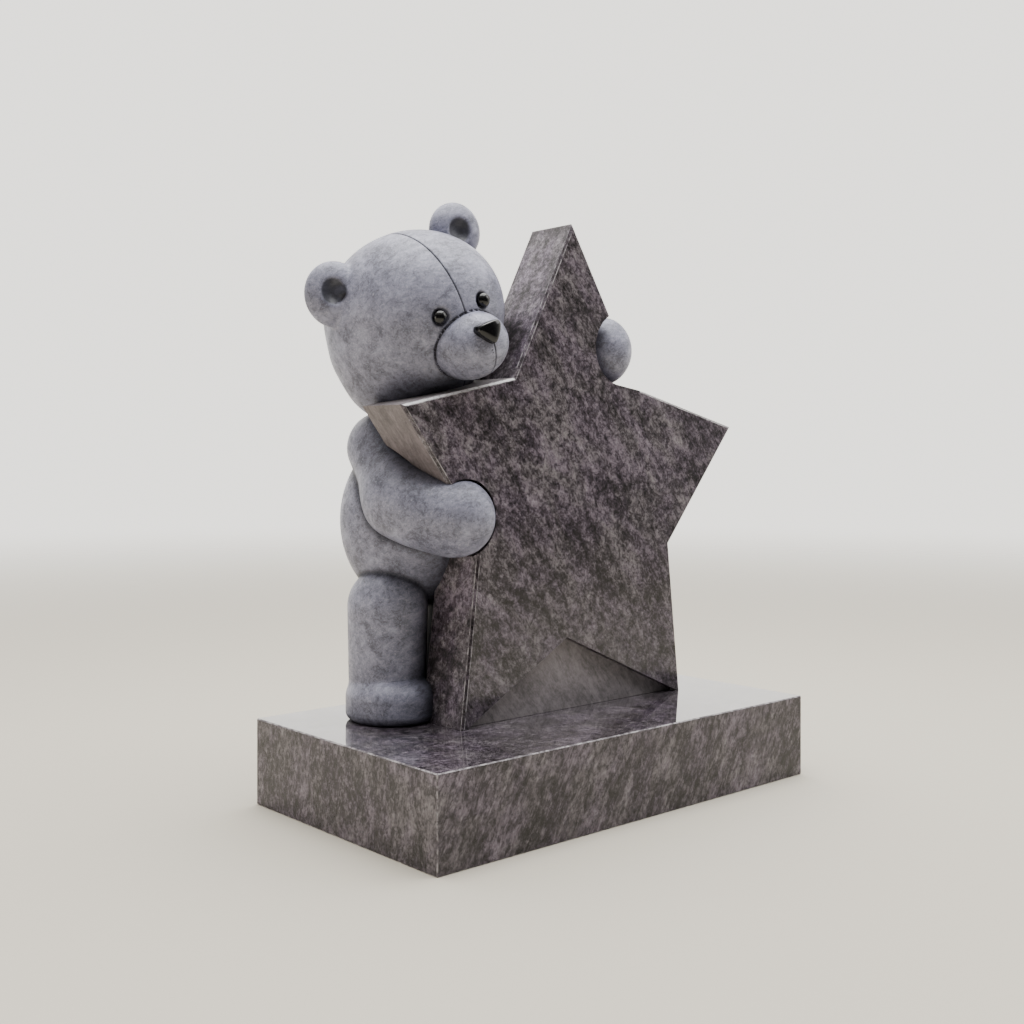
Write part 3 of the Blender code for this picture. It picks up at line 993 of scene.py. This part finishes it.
def cut_paw_seats(star):
    """The hollows around the near paw and forearm, and the one for the far paw."""
    places, radii = near_arm()
    groove = bmesh.new()
    add_ball(groove, places[-1], [bear(PAW_SHARE) + GROOVE] * 3, segments=72)
    depth = FACE_Y + PAW_MERGE_DEPTH
    geom = list(groove.verts) + list(groove.edges) + list(groove.faces)
    sliced = bmesh.ops.bisect_plane(
        groove, geom=geom, plane_co=(0, depth, 0), plane_no=(0, 1, 0), clear_outer=True
    )
    rim = [e for e in sliced["geom_cut"] if isinstance(e, bmesh.types.BMEdge)]
    bmesh.ops.contextual_create(groove, geom=rim)
    bmesh.ops.recalc_face_normals(groove, faces=groove.faces)
    cut(star, groove)
    cut(star, prism(bite_outline(), FACE_Y - GROOVE, FACE_Y + BITE_DEPTH))
    for start, end, start_radius, end_radius in zip(places, places[1:3], radii, radii[1:3]):
        cut(star, tapered_bar(start, end, start_radius + GROOVE, end_radius + GROOVE))


def tapered_bar(start, end, start_radius, end_radius):
    """A tapered round bar with a half ball at each end, by spinning its profile."""
    rings = 12
    steps = [pi / 2 * k / rings for k in range(rings + 1)]
    length = (end - start).length
    profile = [(sin(a) * start_radius, -cos(a) * start_radius) for a in steps]
    profile += [(cos(a) * end_radius, length + sin(a) * end_radius) for a in steps]
    profile[0] = (0.0, profile[0][1])
    profile[-1] = (0.0, profile[-1][1])
    bm = bmesh.new()
    verts = [bm.verts.new((radius, 0.0, height)) for radius, height in profile]
    edges = [bm.edges.new(pair) for pair in zip(verts, verts[1:])]
    bmesh.ops.spin(
        bm, geom=verts + edges, cent=(0, 0, 0), axis=(0, 0, 1), angle=2 * pi, steps=64,
        use_merge=True,
    )
    bmesh.ops.remove_doubles(bm, verts=bm.verts, dist=0.00005)
    bmesh.ops.recalc_face_normals(bm, faces=bm.faces)
    turn = (end - start).to_track_quat("Z", "Y").to_matrix()
    bmesh.ops.rotate(bm, matrix=turn, cent=(0, 0, 0), verts=bm.verts)
    bmesh.ops.translate(bm, vec=start, verts=bm.verts)
    return bm


def mark_finishes(mesh):
    """Give each face of the slab the finish of its place, by the order of the materials."""
    tip = star_point(STAR_CORNERS["left_tip"])
    notch = star_point(STAR_CORNERS["left_notch"])
    waist = star_point(STAR_CORNERS["left_waist"])
    under = Vector((waist.z - tip.z, 0.0, tip.x - waist.x)).normalized()
    upper = Vector((tip.z - notch.z, 0.0, notch.x - tip.x)).normalized()
    arris = (upper + Vector((0.0, -1.0, 0.0))).normalized()
    levels = (FACE_Y + PANEL_SETBACK, BACK_Y - PANEL_SETBACK)
    square_on, same_way, edge_on, touching = 0.99, 0.995, 0.01, 0.001
    for face in mesh.polygons:
        if face.material_index != POLISHED:
            continue
        if abs(face.normal.y) > square_on:
            if min(abs(face.center.y - y) for y in levels) < touching:
                face.material_index = HONED
        elif face.normal.dot(upper) > same_way and face.center.x < notch.x:
            face.material_index = HONED
        # The left arm's front arris takes the pale material with the painted sky reflection
        elif face.normal.dot(arris) > same_way:
            face.material_index = ARRIS
        elif face.normal.dot(under) > same_way and face.center.z > waist.z:
            face.material_index = SAWN
        elif abs(face.normal.y) < edge_on:
            face.material_index = SIDE


class HEADSTONE_OT_star(bpy.types.Operator):
    """Make the star slab: polished faces, arrises, set-back panel and the paws' hollows"""

    bl_idname = "headstone.star"
    bl_label = "Star slab"

    def execute(self, context):
        sizes = context.scene.headstone_sizes
        colours = context.scene.headstone_colours
        bm = prism(star_outline(), FACE_Y, BACK_Y)
        around = [e for e in bm.edges if abs(e.verts[0].co.y - e.verts[1].co.y) < sizes.chamfer]
        chamfer(bm, around, sizes.chamfer)
        # A painted highlight runs along the front edges and the edges beside the belly
        edge_highlight(bm, sizes.edge_highlight, MIDDLE_Y)
        name, side_name = "polished_star_granite", "polished_side_granite"
        panel_name, sawn_name = "honed_panel_granite", "sawn_slab_granite"
        materials = [
            stone(name, polished_granite, name, colours, STAR_FLOW, 0.15, 0.14),
            stone("painted_edge_highlight", edge_highlight_stone, colours),
            stone(panel_name, sawn_granite, panel_name, colours.panel),
            stone("ground_arris_painted_sky", arris_with_sky_glint, colours),
            stone(sawn_name, sawn_granite, sawn_name, colours.sawn),
            # The sides are a lighter copy of the polished granite: partly a shallower polish,
            # partly painted light from the left
            stone(
                side_name, polished_granite, side_name, colours, STAR_FLOW, 0.15, 0.30, 0.0, 1.4
            ),
        ]
        star = new_object("star_slab", bm, materials)
        cut(star, prism(panel_outline(), FACE_Y - SPARE, FACE_Y + PANEL_SETBACK))
        cut(star, prism(panel_outline(), BACK_Y - PANEL_SETBACK, BACK_Y + SPARE))
        cut_paw_seats(star)
        bed = bmesh.new()
        below = Matrix.Translation((0, 0, BED_Z - 0.5)) @ Matrix.Diagonal((2, 2, 1, 1))
        bmesh.ops.create_cube(bed, size=1.0, matrix=below)
        cut(star, bed)
        star.data.shade_smooth()
        star.data.set_sharp_from_angle(angle=SHARP_TURN)
        mark_finishes(star.data)
        finish_piece(star, "bear_and_star")
        return {"FINISHED"}


class HEADSTONE_OT_head(bpy.types.Operator):
    """Carve the bear's head: skull, muzzle, ears, eye rims and seams"""

    bl_idname = "headstone.head"
    bl_label = "Bear's head"

    def execute(self, context):
        sizes = context.scene.headstone_sizes
        colours = context.scene.headstone_colours
        turn = head_frame()[1]
        bm = bmesh.new()
        for centre, radii in skull_balls():
            add_ball(bm, centre, radii, turn, 96)
        add_ball(bm, head_point(*MUZZLE_SEAT), [bear(s) for s in MUZZLE_SHARES], turn, 64)
        for place, share in EARS:
            radii = (bear(share), bear(EAR_THICKNESS / 2), bear(share))
            add_ball(bm, head_point(*place), radii, turn)
        head = fuse(new_object("bear_head", bm, []), sizes.head_cell)
        carve(head.data, lambda points: to_head(points, sizes, seams=False))
        refine(head.data, lambda points: seam_distance(points, sizes.ring_ease))
        carve(head.data, lambda points: to_head(points, sizes, seams=True), passes=2)
        points = keep_inside(head.data)
        rubbed = np.zeros(len(points))
        rim, fade = 1.12, 6.0
        for front in ear_fronts():
            reach = np.linalg.norm(points - np.array(front), axis=1) / sizes.ear_dish
            rubbed = np.maximum(rubbed, rim - reach)
        write_mask(head.data, "rubbed", rubbed * fade)
        # Painted shade: near black in the carved seams, fainter on the skin beside the star
        reach = seam_distance(points, sizes.ring_ease) / (sizes.seam_width * 0.5)
        shade = np.maximum(np.exp(-(reach**2)), star_painted_shade(points, sizes) * HEAD_PAINTED_SHADE)
        write_mask(head.data, "seam", shade)
        head.data.materials.append(stone("hand_honed_granite", honed_granite, colours))
        head.data.shade_smooth()
        finish_piece(head, "bear_and_star")
        return {"FINISHED"}


class HEADSTONE_OT_body(bpy.types.Operator):
    """Carve the bear's torso, arms and legs"""

    bl_idname = "headstone.body"
    bl_label = "Bear's body"

    def execute(self, context):
        sizes = context.scene.headstone_sizes
        colours = context.scene.headstone_colours
        bm = bmesh.new()
        add_ball(bm, body_centre(), [bear(s) for s in TORSO_SHARES])
        for places, radii in (near_arm(), far_arm()):
            add_string(bm, places, radii)
            add_ball(bm, places[-1], [radii[-1] * 1.05] * 3)
        for side in (-1, 1):
            hip, ankle, toe = leg(side)
            radii = [bear(s) for s in (HIP_SHARE, ANKLE_SHARE, 0.07)]
            add_string(bm, [hip, ankle, toe], radii)
            sole = toe + Vector((0, 0, bear(0.035)))
            add_ball(bm, sole, [bear(s) for s in (*FOOT_SHARES[:2], 0.046)])
        body = fuse(new_object("bear_body", bm, []), sizes.body_cell)
        carve(body.data, lambda points: to_body(points, sizes))
        points = keep_inside(body.data)
        write_mask(body.data, "rubbed", np.zeros(len(points)))
        # Painted shade: in the creases, between the legs and beside the star
        occlusion_shade = body_star_painted_shade(points, sizes) * BODY_PAINTED_SHADE
        shade = np.maximum(painted_crease_shade(points, sizes) * CREASE_PAINTED_SHADE, occlusion_shade)
        write_mask(body.data, "seam", shade)
        body.data.materials.append(stone("hand_honed_granite", honed_granite, colours))
        body.data.shade_smooth()
        finish_piece(body, "bear_and_star")
        return {"FINISHED"}


class HEADSTONE_OT_eyes(bpy.types.Operator):
    """Set the eyes: glossy black domes"""

    bl_idname = "headstone.eyes"
    bl_label = "Eyes"

    def execute(self, context):
        colours = context.scene.headstone_colours
        turn = head_frame()[1]
        radii = (EYE_RADIUS, EYE_DEPTH, EYE_RADIUS)
        for side, name in ((-1, "eye_right"), (1, "eye_left")):
            x, y, z = EYE_SEAT
            bm = bmesh.new()
            add_ball(bm, head_point(side * x, y, z), radii, turn)
            eye = new_object(name.replace("eye", "eye_dome"), bm, [])
            eye.data.materials.append(stone("mirror_polished_black_stone", black_inlay, colours))
            eye.data.shade_smooth()
            finish_piece(eye, name)
        return {"FINISHED"}


class HEADSTONE_OT_nose(bpy.types.Operator):
    """Set the nose: a glossy black domed triangle, wide and flat above and narrow below"""

    bl_idname = "headstone.nose"
    bl_label = "Nose"

    def execute(self, context):
        colours = context.scene.headstone_colours
        bm = bmesh.new()
        bmesh.ops.create_uvsphere(bm, u_segments=64, v_segments=40, radius=1.0)
        width, depth, height = NOSE_SIZE
        taper, shoulder, top, top_slope, fullness = 0.42, 0.35, 0.62, 0.25, 0.38
        for vert in bm.verts:
            narrow = 1.0 - taper * max(0.0, shoulder - vert.co.z)
            flat_top = min(vert.co.z, top + top_slope * (vert.co.z - top))
            full_front = np.sign(vert.co.y) * abs(vert.co.y) ** fullness
            vert.co = Vector((vert.co.x * narrow * width, full_front * depth, flat_top * height))
        bmesh.ops.rotate(bm, matrix=head_frame()[1], cent=(0, 0, 0), verts=bm.verts)
        bmesh.ops.translate(bm, vec=head_point(*NOSE_SEAT), verts=bm.verts)
        nose = new_object("nose_inlay", bm, [])
        nose.data.materials.append(stone("mirror_polished_black_stone", black_inlay, colours))
        nose.data.shade_smooth()
        nose.data.set_sharp_from_angle(angle=radians(40))
        finish_piece(nose, "nose")
        return {"FINISHED"}


# Studio


def area_light(name, place, size, power, colour):
    """A square softbox that faces the headstone."""
    light = bpy.data.lights.new(name, "AREA")
    light.shape = "SQUARE"
    light.size = size
    light.energy = power
    light.color = linear(colour)
    obj = bpy.data.objects.new(name, light)
    obj.location = place
    obj.rotation_euler = (Vector(AIM) - Vector(place)).to_track_quat("-Z", "Y").to_euler()
    bpy.context.scene.collection.objects.link(obj)


def soft_room(studio):
    """A plain room whose far wall is bright and whose near wall is dim.

    The eye sees the same pale backdrop on every side.
    """
    world = bpy.data.worlds.new("soft_room")
    world.use_nodes = True
    tree = world.node_tree
    way = add(tree, "ShaderNodeTexCoord").outputs["Generated"]
    outward = (sin(-VIEW_TURN), cos(-VIEW_TURN), 0.25)
    toward = add(
        tree, "ShaderNodeVectorMath", {"operation": "DOT_PRODUCT", 1: outward}, {0: way}
    ).outputs["Value"]
    height = add(tree, "ShaderNodeSeparateXYZ", links={"Vector": way}).outputs["Z"]
    walls, ceiling = (
        add(
            tree,
            "ShaderNodeMapRange",
            {
                "interpolation_type": "SMOOTHSTEP",
                "From Min": low,
                "From Max": high,
                "To Min": dim,
                "To Max": bright,
            },
            {"Value": source},
        ).outputs["Result"]
        for source, low, high, dim, bright in (
            (toward, -0.35, 0.95, studio.near_wall, studio.far_wall),
            (height, 0.35, 1.0, 0.0, studio.ceiling),
        )
    )
    level = add(tree, "ShaderNodeMath", {"operation": "ADD"}, {0: walls, 1: ceiling})
    colour = (*linear(ROOM_COLOUR), 1.0)
    room = tree.nodes["Background"]
    room.inputs["Color"].default_value = colour
    tree.links.new(level.outputs["Value"], room.inputs["Strength"])
    backdrop = add(tree, "ShaderNodeBackground", {"Color": colour, "Strength": studio.far_wall})
    seen = add(tree, "ShaderNodeLightPath").outputs["Is Camera Ray"]
    both = add(
        tree,
        "ShaderNodeMixShader",
        links={0: seen, 1: room.outputs["Background"], 2: backdrop.outputs["Background"]},
    )
    tree.links.new(both.outputs["Shader"], tree.nodes["World Output"].inputs["Surface"])
    return world


def matt_floor(colours):
    """A plain matt floor that fades into the wall, so that no horizon line shows."""
    material, tree, shader, place = new_stone("matt_floor")
    shader.inputs["Base Color"].default_value = (*colours.floor, 1.0)
    shader.inputs["Roughness"].default_value = 0.9
    reach = add(tree, "ShaderNodeVectorMath", {"operation": "LENGTH"}, {0: place}).outputs["Value"]
    fade = add(
        tree,
        "ShaderNodeMapRange",
        {
            "interpolation_type": "SMOOTHSTEP",
            "From Min": 1.2,
            "From Max": 6.0,
            "To Min": 1.0,
            "To Max": 0.0,
        },
        {"Value": reach},
    )
    tree.links.new(fade.outputs["Result"], shader.inputs["Alpha"])
    return material


class HEADSTONE_OT_stage(bpy.types.Operator):
    """Set the floor, the soft studio light and the camera"""

    bl_idname = "headstone.stage"
    bl_label = "Stage"

    def execute(self, context):
        studio = context.scene.headstone_studio
        colours = context.scene.headstone_colours
        bm = bmesh.new()
        bmesh.ops.create_circle(bm, cap_ends=True, segments=96, radius=FLOOR_RADIUS)
        new_object("floor", bm, [matt_floor(colours)])
        context.scene.world = soft_room(studio)
        for name, place, side, share, colour in SOFTBOXES:
            area_light(name, place, side, studio.key * share, colour)
        camera_data = bpy.data.cameras.new("camera")
        camera_data.lens = studio.lens
        camera_data.sensor_width = 36.0
        camera_data.shift_y = studio.shift
        camera = bpy.data.objects.new("camera", camera_data)
        camera.location = CAMERA_PLACE
        camera.rotation_euler = (radians(90), 0.0, VIEW_TURN)
        context.scene.collection.objects.link(camera)
        context.scene.camera = camera
        return {"FINISHED"}


# Add-on


class HEADSTONE_PT_panel(bpy.types.Panel):
    """The headstone's pieces and sizes in the 3D view's sidebar"""

    bl_label = "Headstone"
    bl_space_type = "VIEW_3D"
    bl_region_type = "UI"
    bl_category = "Headstone"

    def draw(self, context):
        for group in ("headstone_sizes", "headstone_colours", "headstone_studio"):
            settings = getattr(context.scene, group)
            box = self.layout.box()
            for name in settings.__annotations__:
                box.prop(settings, name)
        for operator in OPERATORS:
            self.layout.operator(operator.bl_idname)


GROUPS = (HeadstoneSizes, HeadstoneColours, HeadstoneStudio)
OPERATORS = (
    HEADSTONE_OT_plinth,
    HEADSTONE_OT_star,
    HEADSTONE_OT_head,
    HEADSTONE_OT_body,
    HEADSTONE_OT_eyes,
    HEADSTONE_OT_nose,
    HEADSTONE_OT_stage,
)
CLASSES = GROUPS + OPERATORS + (HEADSTONE_PT_panel,)


def register():
    """Make the settings, operators and panel known."""
    for cls in CLASSES:
        bpy.utils.register_class(cls)
    bpy.types.Scene.headstone_sizes = PointerProperty(type=HeadstoneSizes)
    bpy.types.Scene.headstone_colours = PointerProperty(type=HeadstoneColours)
    bpy.types.Scene.headstone_studio = PointerProperty(type=HeadstoneStudio)


def unregister():
    """Take the settings, operators and panel out again."""
    del bpy.types.Scene.headstone_studio
    del bpy.types.Scene.headstone_colours
    del bpy.types.Scene.headstone_sizes
    for cls in reversed(CLASSES):
        bpy.utils.unregister_class(cls)


def main():
    """Make the stage and every piece."""
    register()
    bpy.ops.headstone.stage()
    bpy.ops.headstone.plinth()
    bpy.ops.headstone.star()
    bpy.ops.headstone.head()
    bpy.ops.headstone.body()
    bpy.ops.headstone.eyes()
    bpy.ops.headstone.nose()


if __name__ == "__main__":
    main()
